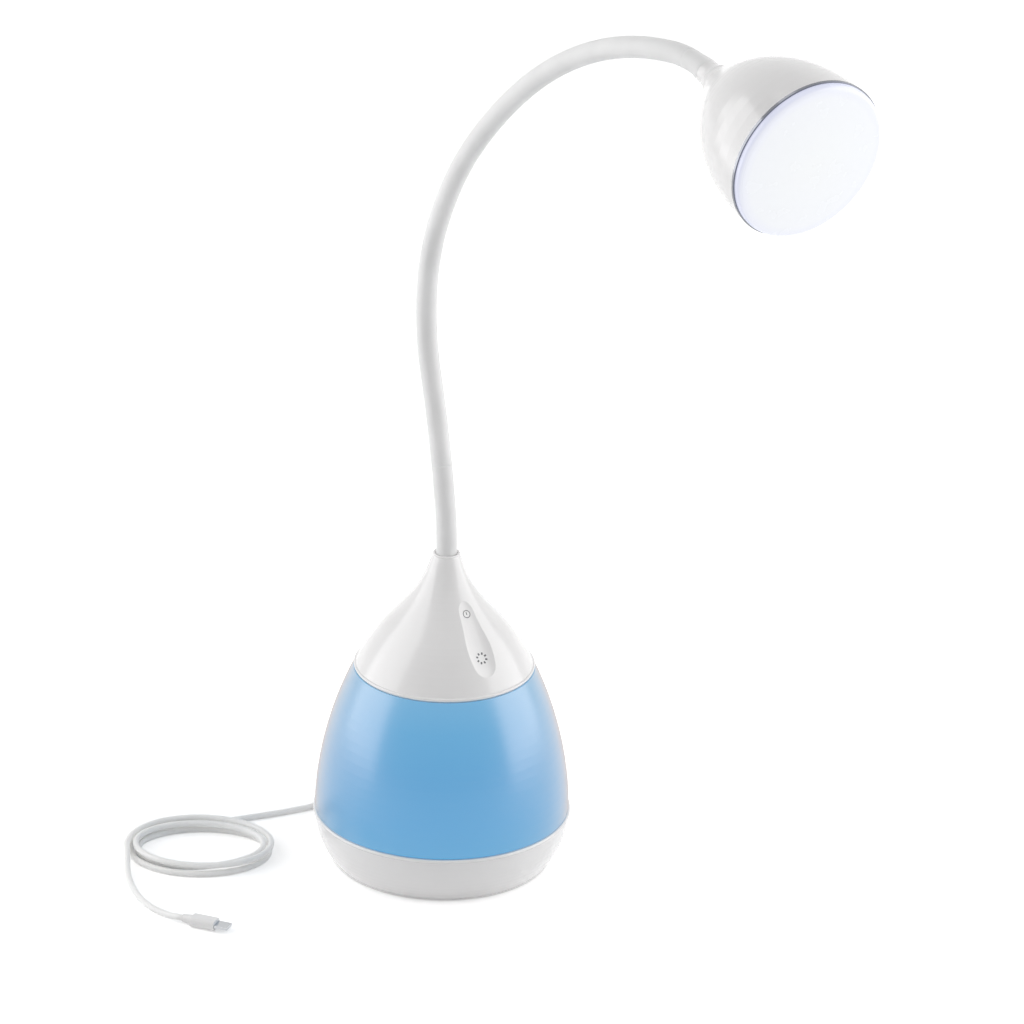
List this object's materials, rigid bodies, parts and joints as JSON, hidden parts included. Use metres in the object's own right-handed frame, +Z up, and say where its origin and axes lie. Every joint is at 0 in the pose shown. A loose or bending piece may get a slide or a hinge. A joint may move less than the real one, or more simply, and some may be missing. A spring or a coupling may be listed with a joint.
{
  "type": "desk lamp",
  "caption": "Gooseneck desk lamp: teardrop base with a colour-lit band and touch groove, bendable neck, bell-shaped LED head, and a charging cable plugged in at the back.",
  "frame": {"origin": "centre of the base on the desk", "axes": "+Z up, -Y the front, towards which the head reaches; the neck lies in the plane X = 0"},
  "size_m": [0.2117, 0.3747, 0.4755],
  "materials": {
    "gloss_white": "high gloss moulded",
    "lit_blue": "translucent diffuser, lit from inside",
    "white_soft": "satin silicone sleeve",
    "grey_plastic": "moulded, unpainted",
    "foot_rubber": "matte anti-slip pad",
    "weight_steel": "plain weight",
    "bright_steel": "zinc plated",
    "white_board": "solder mask",
    "green_board": "solder mask",
    "led_yellow": "phosphor",
    "chip_black": "moulded parts",
    "copper_wire": "insulated wire",
    "bright_trim": "polished",
    "heat_aluminium": "plain sheet",
    "lens_white": "opal, lit",
    "cable_white": "soft satin jacket"
  },
  "bodies": {
    "root": {"cover": "gloss_white", "lit_band": "lit_blue", "lower_ring": "gloss_white", "bottom_plate": "grey_plastic", "foot_pad": "foot_rubber", "weight_plate": "weight_steel", "base_screws": "bright_steel", "column": "grey_plastic", "light_deck": "white_board", "band_board": "white_board", "band_leds": "led_yellow", "main_board": "green_board", "board_screws": "bright_steel", "board_chips": "chip_black", "usb_socket": "bright_steel", "power_inlet": "chip_black", "inlet_pin": "bright_steel", "touch_board": "green_board", "band_wires": "copper_wire", "neck_ferrule": "bright_steel", "neck_washer": "bright_steel", "neck_nut": "bright_steel", "sleeve_1": "white_soft", "core_1": "bright_steel", "wires_1": "copper_wire", "usb_plug_shell": "bright_steel", "usb_plug_body": "gloss_white", "cable_run": "cable_white", "cable_loops": "cable_white", "cable_tail": "cable_white", "connector_body": "gloss_white", "connector_tip": "bright_steel"},
    "neck_2": {"sleeve_2": "white_soft", "core_2": "bright_steel", "wires_2": "copper_wire"},
    "neck_3": {"sleeve_3": "white_soft", "core_3": "bright_steel", "wires_3": "copper_wire"},
    "neck_4": {"sleeve_4": "white_soft", "core_4": "bright_steel", "wires_4": "copper_wire"},
    "neck_5": {"sleeve_5": "white_soft", "core_5": "bright_steel", "wires_5": "copper_wire"},
    "neck_6": {"sleeve_6": "white_soft", "core_6": "bright_steel", "wires_6": "copper_wire"},
    "head": {"sleeve_7": "white_soft", "core_7": "bright_steel", "wires_7": "copper_wire", "head_shell": "gloss_white", "head_ferrule": "bright_steel", "head_washer": "bright_steel", "head_nut": "bright_steel", "heat_plate": "heat_aluminium", "led_board": "white_board", "head_leds": "led_yellow", "head_screws": "bright_steel", "trim_ring": "bright_trim", "lens": "lens_white"}
  },
  "joints": [
    {"name": "neck_side_1", "type": "hinge", "parent": "root", "child": "neck_2", "pos_m": [0, 0.01619, 0.2412], "axis": [0, 0.9563, -0.2924], "range_deg": [-30, 30]},
    {"name": "neck_pitch_2", "type": "hinge", "parent": "neck_2", "child": "neck_3", "pos_m": [0, 0.01256, 0.31659], "axis": [1, 0, 0], "range_deg": [-30, 30]},
    {"name": "neck_side_3", "type": "hinge", "parent": "neck_3", "child": "neck_4", "pos_m": [0, -0.0171, 0.365], "axis": [0, 0.7604, 0.6494], "range_deg": [-30, 30]},
    {"name": "neck_pitch_4", "type": "hinge", "parent": "neck_4", "child": "neck_5", "pos_m": [0, -0.06109, 0.40711], "axis": [1, 0, 0], "range_deg": [-30, 30]},
    {"name": "neck_side_5", "type": "hinge", "parent": "neck_5", "child": "neck_6", "pos_m": [0, -0.11607, 0.4395], "axis": [0, 0.3907, 0.9205], "range_deg": [-30, 30]},
    {"name": "neck_pitch_6", "type": "hinge", "parent": "neck_6", "child": "head", "pos_m": [0, -0.16983, 0.45466], "axis": [1, 0, 0], "range_deg": [-30, 30]}
  ]
}
